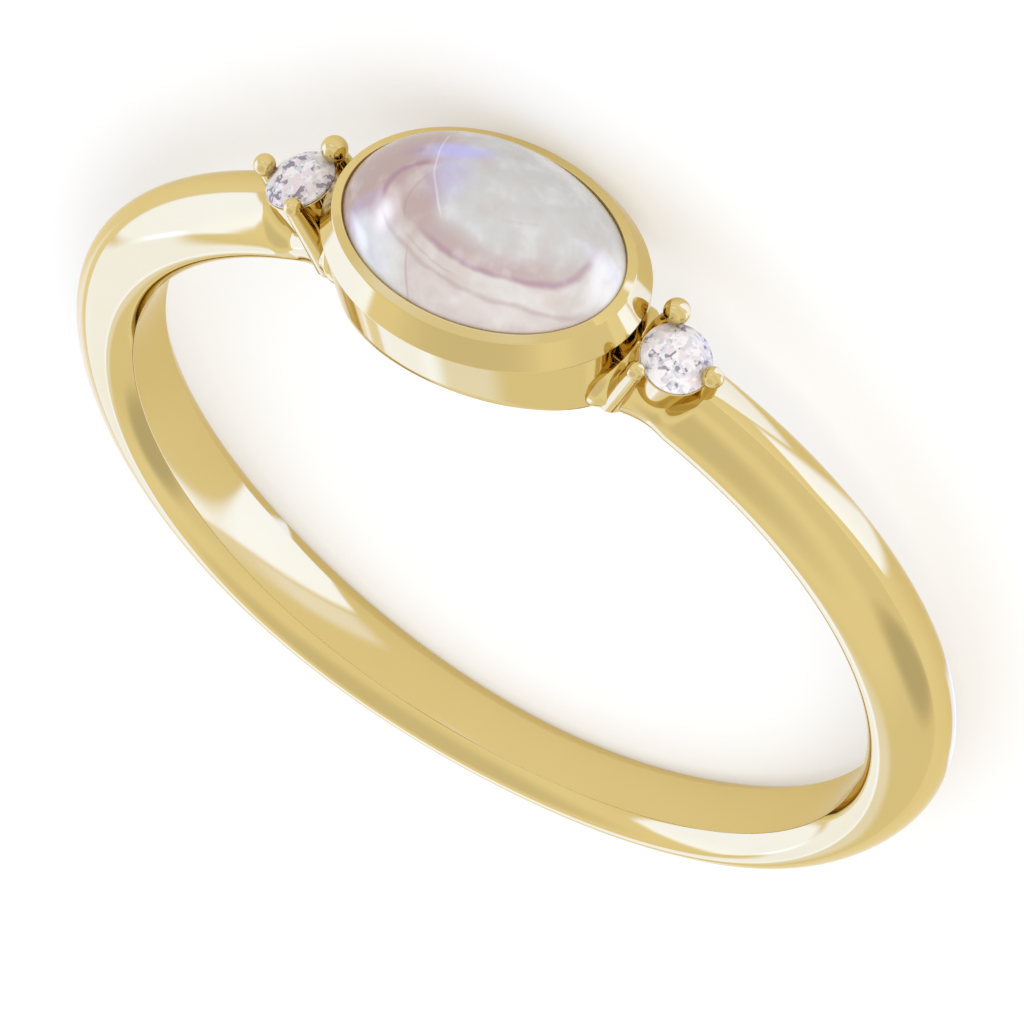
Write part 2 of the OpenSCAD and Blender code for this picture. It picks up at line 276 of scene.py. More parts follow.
def skin(name, rings, place):
    """Smooth closed surface through rings of points that all have the same count."""
    same_point = 1e-8
    n = len(rings[0])
    mesh = bpy.data.meshes.new(name)
    points = [place @ Vector(p) for ring in rings for p in ring]
    faces = [(i * n + j, i * n + (j + 1) % n, (i + 1) * n + (j + 1) % n, (i + 1) * n + j)
             for i in range(len(rings) - 1) for j in range(n)]
    faces.append(tuple(range(n)))
    faces.append(tuple(range((len(rings) - 1) * n, len(rings) * n)))
    mesh.from_pydata(points, [], faces)
    shape = bmesh.new()
    shape.from_mesh(mesh)
    bmesh.ops.remove_doubles(shape, verts=shape.verts, dist=same_point)
    bmesh.ops.recalc_face_normals(shape, faces=shape.faces)
    shape.to_mesh(mesh)
    shape.free()
    for face in mesh.polygons:
        face.use_smooth = True
    return linked(name, mesh)


def joined(name, parts):
    """One object of several closed surfaces."""
    shape = bmesh.new()
    for part in parts:
        shape.from_mesh(part.data)
    mesh = bpy.data.meshes.new(name)
    shape.to_mesh(mesh)
    shape.free()
    for part in parts:
        old = part.data
        bpy.data.objects.remove(part)
        bpy.data.meshes.remove(old)
    return linked(name, mesh)


def oval(half_length, half_width, height, steps=240):
    """Ring of points on an oval round Z."""
    turns = [2 * pi * k / steps for k in range(steps)]
    return [(half_length * cos(t), half_width * sin(t), height) for t in turns]


def lathe(name, profile, place, steps=64):
    """Surface of revolution round Z from (radius, height) pairs, closed at both ends."""
    return skin(name, [oval(radius, radius, height, steps) for radius, height in profile], place)


def dressed(piece, material, slot_name, *nodes):
    """Gives a piece its material, hangs it on the body and hides the CAD parts that it stands for."""
    piece.data.materials.append(material)
    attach(piece, BODY)
    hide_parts(*nodes)


# The band

def band_rows(band):
    """Width, thickness and edge inset of the band every 50 degrees from its back to the shoulder."""
    return [(band.back_width, band.back_thickness, band.back_inset),
            (band.low_width, band.low_thickness, band.low_inset),
            (band.high_width, band.high_thickness, band.high_inset),
            (band.shoulder_width, band.shoulder_thickness, band.shoulder_inset)]


def row_at(rows, i):
    """Row i, even on both sides of the back and straight on past the last row."""
    last = len(rows) - 1
    if i <= last:
        return rows[abs(i)]
    return tuple(2 * a - b for a, b in zip(rows[last], rows[2 * last - i]))


def through(p0, p1, p2, p3, u):
    """Value at share u of the way from p1 to p2, on a smooth curve through all four."""
    return p1 + u * (p2 - p0 + u * (2 * p0 - 5 * p1 + 4 * p2 - p3 + u * (3 * (p1 - p2) + p3 - p0))) / 2


def band_size(band, angle):
    """Width, thickness and edge inset of the band at an angle from its back, in degrees."""
    row_step = 50
    last_change = 160
    at = min(angle, last_change) / row_step
    i = floor(at)
    rows = band_rows(band)
    near_rows = [row_at(rows, i + k) for k in (-1, 0, 1, 2)]
    width, thickness, inset = (through(*values, at - i) for values in zip(*near_rows))
    neck = ease((angle - (180 - degrees(band.shoulder_angle))) / degrees(band.shoulder_fall))
    flare_start = 151.5
    flare_end = 160
    flare = (angle - flare_start) / (flare_end - flare_start)
    return (mix(width, band.neck_width, neck) + band.neck_flare * min(1, max(0, flare)) ** 2,
            mix(thickness, band.neck_thickness, neck) + band.neck_rise * ease(flare),
            mix(inset, band.neck_inset, neck))


def band_section(band, width, thickness, inset):
    """Closed section of the band: (along the finger, out from the finger hole)."""
    dome_steps = 36
    flank_steps = 6
    power = 2 / band.dome_power
    dome_height = thickness - band.widest_height
    near = [(inset * (1 - k / flank_steps) ** 2 - width / 2, band.widest_height * k / flank_steps)
            for k in range(flank_steps)]
    dome = []
    for k in range(dome_steps + 1):
        angle = pi * k / dome_steps
        dome.append((-width / 2 * signed_power(cos(angle), power),
                     band.widest_height + dome_height * max(0, sin(angle)) ** power))
    far = [(-x, out) for x, out in near[::-1]]
    outline = [(0, 0)] + near + dome + far + [(0, 0)]
    radii = [0] * len(outline)
    radii[1] = band.edge_round
    radii[-2] = band.edge_round
    return rounded(outline, radii)[:-1]


def build_band(band, place):
    """The band and its necks, ending just inside the bezel."""
    wide_step = 1.0
    short_step = 0.25
    bezel_end = 161
    fall = 180 - degrees(band.shoulder_angle)
    wide = [k * wide_step for k in range(int(fall / wide_step))]
    short = [fall + k * short_step for k in range(int((bezel_end - fall) / short_step) + 1)]
    half = wide + short + [bezel_end]
    hole_radius = band.hole_diameter / 2
    rings = []
    for angle in [-a for a in half[:0:-1]] + half:
        section = band_section(band, *band_size(band, abs(angle)))
        turned = radians(angle)
        rings.append([(sin(turned) * (hole_radius + out), x, -cos(turned) * (hole_radius + out))
                      for x, out in section])
    return skin("ring_band", rings, place)


# The bezel and the cabochon

def build_bezel(band, bezel, place):
    """Bezel with a plain closed back that follows the finger hole."""
    hole_radius = band.hole_diameter / 2
    crease_z = hole_radius + bezel.crease_rise
    lip_z = hole_radius + bezel.lip_rise
    seat_z = hole_radius + bezel.stone_rise - bezel.stone_base
    lip_in = bezel.lip_inset + bezel.lip_width
    seat_in = lip_in + 0.07 * MM
    lip_edge = 0.05 * MM
    foot_edge = 0.05 * MM
    wall_top = crease_z - 0.3 * MM
    back_rows = 12
    wall_rows = 8
    foot_length = bezel.half_length - bezel.foot_inset
    foot_width = bezel.half_width - bezel.foot_inset

    def inset_at(z):
        """How far the wall is drawn in at a height."""
        return bezel.foot_inset * (crease_z - z) / bezel.crease_rise

    def foot(inset):
        """Ring of points on the finger hole, drawn in by inset."""
        return [(x, y, sqrt(hole_radius ** 2 - x ** 2)) for x, y, _ in
                oval(bezel.half_length - inset, bezel.half_width - inset, 0)]

    almost_closed = bezel.half_width * 0.99
    back = [foot(mix(almost_closed, bezel.foot_inset + foot_edge, k / back_rows))
            for k in range(back_rows + 1)]
    # The last row is left to the outline, which starts just under the widest line
    wall = []
    for k in range(wall_rows - 1):
        ring = []
        for x, y, z in foot(bezel.foot_inset):
            rise = mix(foot_edge, crease_z - z, k / wall_rows)
            grow = bezel.foot_inset - inset_at(z + rise)
            ring.append((x * ((foot_length + grow) / foot_length),
                         y * ((foot_width + grow) / foot_width), z + rise))
        wall.append(ring)
    outline = [
        (inset_at(wall_top), wall_top),
        (0, crease_z),
        (bezel.lip_inset, lip_z),
        (lip_in, lip_z + bezel.lip_slope),
        (seat_in, lip_z - lip_edge),
        (seat_in, seat_z),
    ]
    radii = [0, bezel.edge_round, bezel.edge_round, bezel.edge_round / 2, 0, 0]
    top = [oval(bezel.half_length - inset, bezel.half_width - inset, z)
           for inset, z in rounded(outline, radii)]
    return skin("bezel", back + wall + top, place)


def build_cabochon(band, bezel, place):
    """Domed oval stone with a flat base."""
    widest_z = band.hole_diameter / 2 + bezel.stone_rise
    half_length = bezel.stone_half_length
    half_width = bezel.stone_half_width
    base_share = 0.995
    dome_rows = 48
    rings = [oval(half_length * base_share, half_width * base_share, widest_z - bezel.stone_base)]
    for k in range(dome_rows):
        angle = pi / 2 * k / dome_rows
        rings.append(oval(half_length * cos(angle), half_width * cos(angle),
                          widest_z + bezel.stone_dome * sin(angle)))
    return skin("moonstone_dome", rings, place)


# The heads

# Place of the cup's foot under the girdle plane
CUP_FOOT_Z = -1.1 * MM


def head_place(band, head, place, side):
    """Matrix of one head: z = 0 is the girdle plane, and x runs away from the cabochon."""
    radius = band.hole_diameter / 2 + head.rise
    girdle = Matrix.Translation((radius * sin(head.angle), 0, radius * cos(head.angle)))
    return place @ Matrix.Scale(side, 4, (1, 0, 0)) @ girdle @ Matrix.Rotation(head.lean, 4, "Y")


def prong(tip, foot, foot_radius, top_radius, bead_radius, place):
    """Tapered prong from foot to tip that ends in a round bead."""
    steps = 32
    bead_steps = 24
    foot_taper = 0.9
    foot_height = 0.1 * MM
    swell = 1.25
    almost_closed = 0.01
    axis = tip - foot
    up = axis.to_track_quat("Z", "Y").to_matrix().to_4x4()
    meet = sqrt(bead_radius ** 2 - top_radius ** 2)
    start = -asin(meet / bead_radius)
    profile = [(foot_radius * foot_taper, 0), (foot_radius, foot_height),
               (top_radius, axis.length - meet * swell)]
    for k in range(bead_steps):
        angle = mix(start, pi / 2, k / bead_steps)
        profile.append((bead_radius * cos(angle), axis.length + bead_radius * sin(angle)))
    profile.append((bead_radius * almost_closed, axis.length + bead_radius))
    return lathe("prong", profile, place @ Matrix.Translation(foot) @ up, steps)


def build_cup(head, here):
    """Cup under one diamond."""
    axis_radius = 0.01 * MM
    foot_radius = 0.68 * MM
    rim_radius = head.diamond_diameter / 2 + head.seat_gap
    rim_z = -0.04 * MM
    seat_radius = head.diamond_diameter / 2 - 0.02 * MM
    seat_low = -0.7 * MM
    outline = [(axis_radius, CUP_FOOT_Z), (foot_radius, CUP_FOOT_Z), (rim_radius, rim_z),
               (seat_radius, rim_z), (axis_radius, seat_low)]
    foot_round = 0.05 * MM
    rim_round = 0.02 * MM
    seat_round = 0.01 * MM
    radii = [0, foot_round, rim_round, seat_round, 0]
    return lathe("cup", rounded(outline, radii, steps=4), here)


def build_head(name, band, head, place, side):
    """Cup and three beaded prongs round one diamond."""
    here = head_place(band, head, place, side)
    outer_foot = (0.92 * MM, 0, CUP_FOOT_Z)
    outer_foot_radius = 0.2 * MM
    far_foot = (-0.54 * MM, 0.80 * MM, -1.62 * MM)
    near_foot = (-0.54 * MM, -0.80 * MM, -1.62 * MM)
    prongs = [(0, head.outer_reach, head.outer_bead, outer_foot, outer_foot_radius),
              (head.inner_turn, head.inner_reach, head.far_bead, far_foot, head.prong_foot),
              (-head.inner_turn, head.inner_reach, head.near_bead, near_foot, head.prong_foot)]
    parts = [build_cup(head, here)]
    for angle, out, bead_radius, foot, foot_radius in prongs:
        tip = Vector((out * cos(angle), out * sin(angle), head.bead_height))
        parts.append(prong(tip, Vector(foot), foot_radius, head.prong, bead_radius, here))
    return joined(name, parts)


# Materials

def set_inputs(tree, node, inputs):
    """Sets inputs of a node. A value that is a socket is linked, any other is set."""
    for name, value in inputs.items():
        if isinstance(value, bpy.types.NodeSocket):
            tree.links.new(value, node.inputs[name])
        else:
            node.inputs[name].default_value = value


def add_node(tree, kind, settings=None, inputs=None):
    """New node with its settings and inputs."""
    made = tree.nodes.new(kind)
    for name, value in (settings or {}).items():
        setattr(made, name, value)
    set_inputs(tree, made, inputs or {})
    return made


def new_material(name):
    """Material with one Principled shader. Gives the material, its tree and the shader."""
    made = bpy.data.materials.new(name)
    made.use_nodes = True
    tree = made.node_tree
    tree.nodes.clear()
    shader = add_node(tree, "ShaderNodeBsdfPrincipled")
    add_node(tree, "ShaderNodeOutputMaterial", inputs={"Surface": shader.outputs["BSDF"]})
    return made, tree, shader


def object_coordinates(tree):
    """Coordinates that stay with the piece, in metres."""
    return add_node(tree, "ShaderNodeTexCoord").outputs["Object"]


def calc(tree, operation, *values):
    """Output of a Math node on sockets or plain numbers."""
    made = add_node(tree, "ShaderNodeMath", {"operation": operation}, dict(enumerate(values)))
    return made.outputs["Value"]


def times(tree, a, b):
    """Product of two sockets or plain numbers."""
    return calc(tree, "MULTIPLY", a, b)


def ramp(tree, value, start, end, low=0.0, high=1.0):
    """Soft change from low to high while value goes from start to end."""
    return add_node(tree, "ShaderNodeMapRange", {"interpolation_type": "SMOOTHSTEP"}, {
        "Value": value, "From Min": start, "From Max": end, "To Min": low, "To Max": high}).outputs["Result"]


def blend(tree, factor, a, b):
    """Colour a with colour b over it by factor.

    Inputs 6 and 7 of a Mix node are its colours, and output 2 is the mixed one."""
    tones = [tone if isinstance(tone, bpy.types.NodeSocket) else (*tone, 1) for tone in (a, b)]
    made = add_node(tree, "ShaderNodeMix", {"data_type": "RGBA"}, {0: factor, 6: tones[0], 7: tones[1]})
    return made.outputs[2]


def noise(tree, where, scale, detail):
    """Outputs of a cloudy pattern."""
    made = add_node(tree, "ShaderNodeTexNoise", inputs={"Vector": where, "Scale": scale, "Detail": detail})
    return made.outputs


def polish_group():
    """Group for the polish of metal and stones: a slow drift of tone and a fine change of roughness."""
    name = "polish"
    group = bpy.data.node_groups.get(name)
    if group:
        return group
    group = bpy.data.node_groups.new(name, "ShaderNodeTree")
    group.interface.new_socket("Where", in_out="INPUT", socket_type="NodeSocketVector")
    for socket, way in (("Least", "INPUT"), ("Most", "INPUT"), ("Drift", "OUTPUT"), ("Roughness", "OUTPUT")):
        group.interface.new_socket(socket, in_out=way, socket_type="NodeSocketFloat")
    start = add_node(group, "NodeGroupInput").outputs
    drift = noise(group, start["Where"], scale=350.0, detail=2.0)["Fac"]
    grain = noise(group, start["Where"], scale=5000.0, detail=3.0)["Fac"]
    rough = add_node(group, "ShaderNodeMapRange", inputs={
        "Value": grain, "To Min": start["Least"], "To Max": start["Most"]}).outputs["Result"]
    add_node(group, "NodeGroupOutput", inputs={"Drift": drift, "Roughness": rough})
    return group


def polish(tree, where, least, most):
    """Drift of tone, and roughness between least and most."""
    made = add_node(tree, "ShaderNodeGroup", {"node_tree": polish_group()}, {
        "Where": where, "Least": least, "Most": most})
    return made.outputs["Drift"], made.outputs["Roughness"]


def gold_material(colours):
    """Polished yellow gold with faint hand polishing waves."""
    made, tree, shader = new_material("polished_gold")
    where = object_coordinates(tree)
    drift, rough = polish(tree, where, least=0.04, most=0.10)
    wave = noise(tree, where, scale=450.0, detail=1.0)["Fac"]
    bump = add_node(tree, "ShaderNodeBump", inputs={"Height": wave, "Strength": 0.15, "Distance": 0.02 * MM})
    set_inputs(tree, shader, {
        "Base Color": blend(tree, drift, colours.gold, colours.gold_warm),
        "Metallic": 1.0,
        "Roughness": rough,
        "Specular Tint": (*colours.gold_edge, 1),
        "Normal": bump.outputs["Normal"],
    })
    return made


# Places on the moonstone are seen from above, in mm from its middle. A spot is its middle, its half
# sizes, its turn in degrees and the share of it that fades. An oval is its middle and its half sizes.
MIDDLE_OVAL = ((0.53, 0.06), (2.25, 1.42))
NEAR_SIDE = ((1.0, -2.6), (3.6, 3.2), 0, 0.35)
ROUND_MIDDLE = ((-0.3, -1.5), (3.6, 2.1), 0, 0.3)
LEFT_MIDDLE = ((-1.0, -0.45), (0.75, 0.8), 0, 0.6)
LEFT_END = ((-2.4, 0.3), (2.0, 2.2), 0, 0.45)

# Where a tone sets in and where it is full, as sizes against the middle oval
ROSE_START = (0.55, 0.85)
MILK_START = (0.94, 0.99)
BLUSH_START = (1.16, 1.26)

# Patches in the moonstone: tone, strength, spot. Those in the tone light are painted highlights on its dome
PATCHES = (
    ("light", 0.15, ((1.5, -1.5), (1.1, 0.25), 12, 1.0)),
    ("ice", 0.95, ((-1.35, -1.55), (1.2, 0.5), -30, 0.5)),
    ("light", 0.6, ((-1.95, -1.25), (0.75, 0.12), -38, 1.0)),
    ("flash", 1.0, ((-0.85, 0.74), (1.15, 0.36), 22, 0.8)),
    ("violet", 0.45, ((-1.5, 0.5), (0.6, 0.22), 25, 1.0)),
    ("mauve", 0.7, ((-0.75, -0.8), (0.42, 0.6), 10, 0.6)),
    ("blush", 0.5, ((-1.2, -0.3), (0.35, 0.4), 0, 1.0)),
    ("rose", 0.55, ((2.42, -0.3), (0.25, 0.4), -20, 1.0)),
    ("flash", 0.55, ((-0.6, 0.15), (0.7, 1.0), 20, 1.0)),
    ("petal", 0.6, ((-1.52, -0.85), (0.42, 0.6), 20, 0.5)),
    ("light", 0.75, ((-1.5, -0.98), (0.3, 0.4), 20, 1.0)),
    ("light", 0.5, ((2.95, 0.15), (0.45, 1.1), 8, 0.8)),
    ("light", 0.35, ((0.9, 1.65), (1.5, 0.3), -12, 1.0)),
    ("mauve", 0.4, ((1.2, -0.1), (0.6, 0.07), 22, 1.0)),
    ("ice", 0.5, ((1.6, -1.25), (1.3, 0.22), 12, 0.6)),
)

# Curved lines inside it: tone, strength, the oval that a line follows, its size and half width against
# that oval, and the spot that it shows in
CURVES = (
    ("violet", 0.65, MIDDLE_OVAL, 0.93, 0.05, ((1.55, -0.95), (2.3, 1.6), 0, 0.3)),
    ("rose", 0.65, MIDDLE_OVAL, 1.16, 0.04, NEAR_SIDE),
    ("rose", 0.5, MIDDLE_OVAL, 1.08, 0.02, ((-0.3, -1.5), (0.9, 0.7), 0, 0.4)),
    ("violet", 0.85, ((-0.94, -0.54), (0.8, 0.8)), 1.0, 0.15, ((-1.75, 0.15), (0.95, 0.95), 0, 0.3)),
    ("violet", 0.3, ((-0.39, -0.49), (0.76, 0.76)), 1.0, 0.06, ((-1.3, -0.5), (0.6, 0.7), 0, 0.4)),
    ("light", 0.28, ((1.9, 1.6), (3.2, 3.2)), 1.0, 0.012, ((-0.9, 0.1), (0.8, 1.3), 20, 0.3)),
)

# Short straight line that crosses them: tone, strength, spot
SHORT_LINE = ("rose", 0.6, ((-0.55, -1.7), (0.035, 0.45), 24, 0.5))

# Clouds in it: the values of the noise where they start and are full, and their strength there
PALE_CLOUDS = (0.48, 0.75, 0.0, 0.16)
MAUVE_CLOUDS = (0.52, 0.28, 0.0, 0.22)


def stone_coordinates(tree, place):
    """Object coordinates in millimetres in the frame that place puts down."""
    return add_node(tree, "ShaderNodeMapping", {"vector_type": "TEXTURE"}, {
        "Vector": object_coordinates(tree), "Location": place.to_translation(),
        "Rotation": place.to_euler(), "Scale": (MM, MM, MM)}).outputs["Vector"]


def reach(tree, where, centre, half, angle=0):
    """Distance from centre as seen from above, in units of the half sizes: 1 on the oval."""
    any_height = 1e6
    inside = add_node(tree, "ShaderNodeMapping", {"vector_type": "TEXTURE"}, {
        "Vector": where, "Location": (*centre, 0), "Rotation": (0, 0, radians(angle)),
        "Scale": (*half, any_height)})
    return add_node(tree, "ShaderNodeVectorMath", {"operation": "LENGTH"}, {
        "Vector": inside.outputs["Vector"]}).outputs["Value"]


def spot(tree, where, centre, half, angle, soft):
    """1 in the middle of an oval spot, 0 outside of it."""
    return ramp(tree, reach(tree, where, centre, half, angle), 1.0, 1.0 - soft)


def arc(tree, distance, at, width):
    """1 on the line where distance is at, and 0 a width away from it."""
    off = calc(tree, "ABSOLUTE", calc(tree, "SUBTRACT", distance, at))
    return ramp(tree, off, width, 0.0)


def rippled(tree, plain):
    """Coordinates with a slow ripple, so that no line in the stone is quite even."""
    size = (0.22, 0.22, 0)
    ripple = noise(tree, plain, scale=0.9, detail=2.0)["Color"]
    return add_node(tree, "ShaderNodeVectorMath", {"operation": "MULTIPLY_ADD"}, {
        0: ripple, 1: size, 2: plain}).outputs["Vector"]


def moonstone_material(colours, place):
    """Milky moonstone: a cool middle with a rose band round it, pale sides, a blue violet flash and painted
    highlights.
    """
    made, tree, shader = new_material("milky_moonstone")
    plain = stone_coordinates(tree, place)
    where = rippled(tree, plain)
    ring = reach(tree, where, *MIDDLE_OVAL)
    near_side = spot(tree, where, *NEAR_SIDE)
    rose_band = times(tree, ramp(tree, ring, *ROSE_START), spot(tree, where, *ROUND_MIDDLE))
    look = blend(tree, rose_band, colours.aqua, colours.rose)
    look = blend(tree, spot(tree, where, *LEFT_MIDDLE), look, colours.rose)
    look = blend(tree, spot(tree, where, *LEFT_END), look, colours.mauve)
    look = blend(tree, times(tree, ramp(tree, ring, *MILK_START), near_side), look, colours.milk)
    look = blend(tree, times(tree, ramp(tree, ring, *BLUSH_START), near_side), look, colours.blush)
    marks = [(tone, strength, spot(tree, where, *area)) for tone, strength, area in PATCHES]
    for tone, strength, followed, at, width, area in CURVES:
        line = arc(tree, reach(tree, where, *followed), at, width)
        marks.append((tone, strength, times(tree, line, spot(tree, where, *area))))
    tone, strength, area = SHORT_LINE
    marks.append((tone, strength, spot(tree, where, *area)))
    # Patches and lines over the body colour; the patches in the tone light are painted highlights
    for tone, strength, mask in marks:
        look = blend(tree, times(tree, mask, strength), look, getattr(colours, tone))
    cloud = noise(tree, where, scale=2.2, detail=2.0)["Fac"]
    look = blend(tree, ramp(tree, cloud, *PALE_CLOUDS), look, colours.light)
    look = blend(tree, ramp(tree, cloud, *MAUVE_CLOUDS), look, colours.mauve)
    set_inputs(tree, shader, {
        "Base Color": look,
        "Roughness": polish(tree, plain, least=0.10, most=0.15)[1],
        "IOR": 1.52,
        "Specular IOR Level": 0.25,
    })
    return made


def shards(tree, where, scale):
    """Random tones of a pattern of small shards, one in each output, which break up the painted reflections
    of the brilliants.
    """
    pattern = add_node(tree, "ShaderNodeTexVoronoi", inputs={"Vector": where, "Scale": scale})
    return add_node(tree, "ShaderNodeSeparateColor", inputs={"Color": pattern.outputs["Color"]}).outputs


def facet_reflection(tree):
    """Random tone of painted reflection for each facet, which goes by the way it faces."""
    step = (0.05, 0.05, 0.05)
    facing = add_node(tree, "ShaderNodeNewGeometry").outputs["True Normal"]
    coarse = add_node(tree, "ShaderNodeVectorMath", {"operation": "SNAP"}, {0: facing, 1: step})
    return add_node(tree, "ShaderNodeTexWhiteNoise", {"noise_dimensions": "3D"}, {
        "Vector": coarse.outputs["Vector"]}).outputs["Value"]


def diamond_material(colours):
    """Sparkling brilliants with painted reflections: each facet has its own painted tone, broken up by
    painted shards of what shows through it.
    """
    facet_share = 0.3
    large_share = 0.4
    small_share = 0.3
    grey_reflection_start = (0.60, 0.46)
    dark_reflection_start = (0.40, 0.32)
    rosy_shards = (0.76, 0.84)
    rosy_tones = (0.7, 0.5)
    made, tree, shader = new_material("sparkling_diamond")
    where = object_coordinates(tree)
    large = shards(tree, where, scale=6200.0)
    small = shards(tree, where, scale=13500.0)
    # Painted reflections: a tone for each facet and two sizes of shards choose among white, grey, dark lilac
    # and rosy
    inside = calc(tree, "ADD", times(tree, large[0], large_share), times(tree, small[0], small_share))
    tone = calc(tree, "ADD", times(tree, facet_reflection(tree), facet_share), inside)
    look = blend(tree, ramp(tree, tone, *grey_reflection_start), colours.diamond, colours.grey_reflection)
    look = blend(tree, ramp(tree, tone, *dark_reflection_start), look, colours.dark_reflection)
    rosy_reflection = times(tree, ramp(tree, large[1], *rosy_shards), ramp(tree, tone, *rosy_tones))
    set_inputs(tree, shader, {
        "Base Color": blend(tree, rosy_reflection, look, colours.petal),
        "Roughness": polish(tree, where, least=0.01, most=0.03)[1],
        "IOR": 1.6,
        "Specular IOR Level": 0.15,
    })
    return made


def floor_material(stage):
    """Matt pale floor that glows a little, which keeps its shadows soft."""
    made, tree, shader = new_material("pale_floor")
    cloud_share = 0.985
    cloud = noise(tree, object_coordinates(tree), scale=8.0, detail=2.0)["Fac"]
    darker = [cloud_share * c for c in stage.floor_tone]
    set_inputs(tree, shader, {
        "Base Color": blend(tree, cloud, stage.floor_tone, darker),
        "Roughness": 0.9,
        "Emission Color": (1, 1, 1, 1),
        "Emission Strength": stage.glow,
    })
    return made


# Lights

# Softboxes that show in the gold alone: name, azimuth and elevation, width and height as the ring sees
# them, all in degrees, share of the key and how much of their size the soft edges take
SOFTBOXES = (
    ("right_softbox", 98, 22, 54, 46, 1.15, 0.1),
    ("back_softbox", 144, 13, 44, 44, 1.0, 0.12),
    ("rear_softbox", 170, 20, 24, 34, 0.4, 0.3),
    ("front_softbox", 17, 17, 54, 19, 0.4, 0.3),
)

# White cards on the floor that show in the gold alone: middle, width and depth in mm, share of the key
# and how much of their size the soft edges take
REFLECTORS = (
    (-11.2, -5.8, 7.4, 6.0, 1.1, 0.14),
    (-6.0, -9.8, 3.4, 7.8, 1.0, 0.10),
    (-10.0, 3.2, 1.8, 5.0, 0.8, 0.2),
    (5.0, 6.73, 3.2, 1.54, 1.25, 0.08),
    (3.2, 6.7, 1.2, 1.8, 0.5, 0.3),
    (1.45, 5.5, 0.4, 1.4, 0.35, 0.2),
    (-1.6, 19.0, 2.8, 12.0, 0.7, 0.3),
    (18.5, 12.5, 16.0, 20.0, 0.45, 0.3),
    (22.5, 31.0, 18.0, 16.0, 0.6, 0.2),
)

# Distance of the softboxes from the ring, in metres
SOFTBOX_DISTANCE = 0.3


def area_light(name, place, size, brightness, tint=None, soft=0):
    """Flat light with its face towards the -Z of place.

    With a tint it shows in the gold alone, with edges that fade over the share soft of its size.
    Without a tint it lights matt things alone."""
    in_gold = tint is not None
    data = bpy.data.lights.new(name, "AREA")
    data.shape = "RECTANGLE"
    data.size, data.size_y = size
    data.energy = brightness * pi * size[0] * size[1]
    if in_gold:
        data.color = tint
        data.use_nodes = True
        tree = data.node_tree
        # No matt surface gathers this light over the gold, which would put yellow specks on the floor
        path = add_node(tree, "ShaderNodeLightPath")
        strength = calc(tree, "LESS_THAN", path.outputs["Diffuse Depth"], 0.5)
        where = add_node(tree, "ShaderNodeNewGeometry").outputs["Parametric"]
        across = add_node(tree, "ShaderNodeSeparateXYZ", inputs={"Vector": where}).outputs
        half = 0.5
        for side in ("X", "Y"):
            off_middle = calc(tree, "ABSOLUTE", calc(tree, "SUBTRACT", across[side], half))
            strength = times(tree, strength, ramp(tree, off_middle, half, half - soft))
        tree.links.new(strength, tree.nodes["Emission"].inputs["Strength"])
    light = linked(name, data)
    light.matrix_world = place
    light.visible_diffuse = not in_gold
    light.visible_glossy = in_gold


def direction(azimuth, elevation):
    """Unit vector away from the ring. Azimuth 0 is -Y, and a quarter turn is +X."""
    return Vector((sin(azimuth) * cos(elevation), -cos(azimuth) * cos(elevation), sin(elevation)))


def towards_ring(azimuth, elevation):
    """Place of a softbox that faces the ring, from its direction in degrees."""
    out = direction(radians(azimuth), radians(elevation))
    return Matrix.Translation(out * SOFTBOX_DISTANCE) @ out.to_track_quat("Z", "Y").to_matrix().to_4x4()


def seen_size(angle):
    """Size of a softbox that the ring sees under an angle in degrees."""
    return 2 * SOFTBOX_DISTANCE * tan(radians(angle) / 2)


def make_lights(stage):
    """Softboxes and floor cards for the gold, and one softbox for everything else."""
    stone_size = 0.16
    stone_place = towards_ring(azimuth=-45, elevation=38)
    area_light("stone_softbox", stone_place, (stone_size, stone_size), stage.stone_key)
    for name, azimuth, elevation, width, height, share, soft in SOFTBOXES:
        area_light(name, towards_ring(azimuth, elevation), (seen_size(width), seen_size(height)),
                   stage.key * share, stage.key_tint, soft)
    face_up = Matrix.Rotation(pi, 4, "X")
    card_rise = 0.02 * MM
    for x, y, width, depth, share, soft in REFLECTORS:
        place = Matrix.Translation((x * MM, y * MM, card_rise)) @ face_up
        area_light("floor_reflector", place, (width * MM, depth * MM), stage.key * share,
                   stage.key_tint, soft)


def studio_world(stage):
    """White surroundings for the gold: dimmer on one side and overhead, brighter half way up."""
    dim_side = direction(azimuth=radians(-127), elevation=radians(18))
    dim_edge = cos(radians(23))
    dim_middle = cos(radians(8))
    dim_share = 0.68
    world = bpy.data.worlds.new("studio")
    world.use_nodes = True
    tree = world.node_tree
    where = add_node(tree, "ShaderNodeTexCoord").outputs["Generated"]
    towards = add_node(tree, "ShaderNodeVectorMath", {"operation": "DOT_PRODUCT"}, {0: where, 1: dim_side})
    side = ramp(tree, towards.outputs["Value"], dim_edge, dim_middle, stage.fill, stage.fill * dim_share)
    height = add_node(tree, "ShaderNodeSeparateXYZ", inputs={"Vector": where}).outputs["Z"]
    half_way_up = ramp(tree, height, 0.45, 0.70, low=1.0, high=1.10)
    overhead = ramp(tree, height, 0.74, 0.96, low=1.0, high=0.80)
    strength = times(tree, side, times(tree, half_way_up, overhead))
    set_inputs(tree, tree.nodes["Background"], {"Color": (1, 1, 1, 1), "Strength": strength})
    return world


# Floor and camera

def make_floor(stage):
    """Round pale floor, which isn't part of the ring."""
    steps = 96
    rim = oval(stage.floor_radius, stage.floor_radius, 0, steps)
    mesh = bpy.data.meshes.new("floor")
    mesh.from_pydata(rim, [], [tuple(range(steps))])
    mesh.materials.append(floor_material(stage))
    linked("floor", mesh)


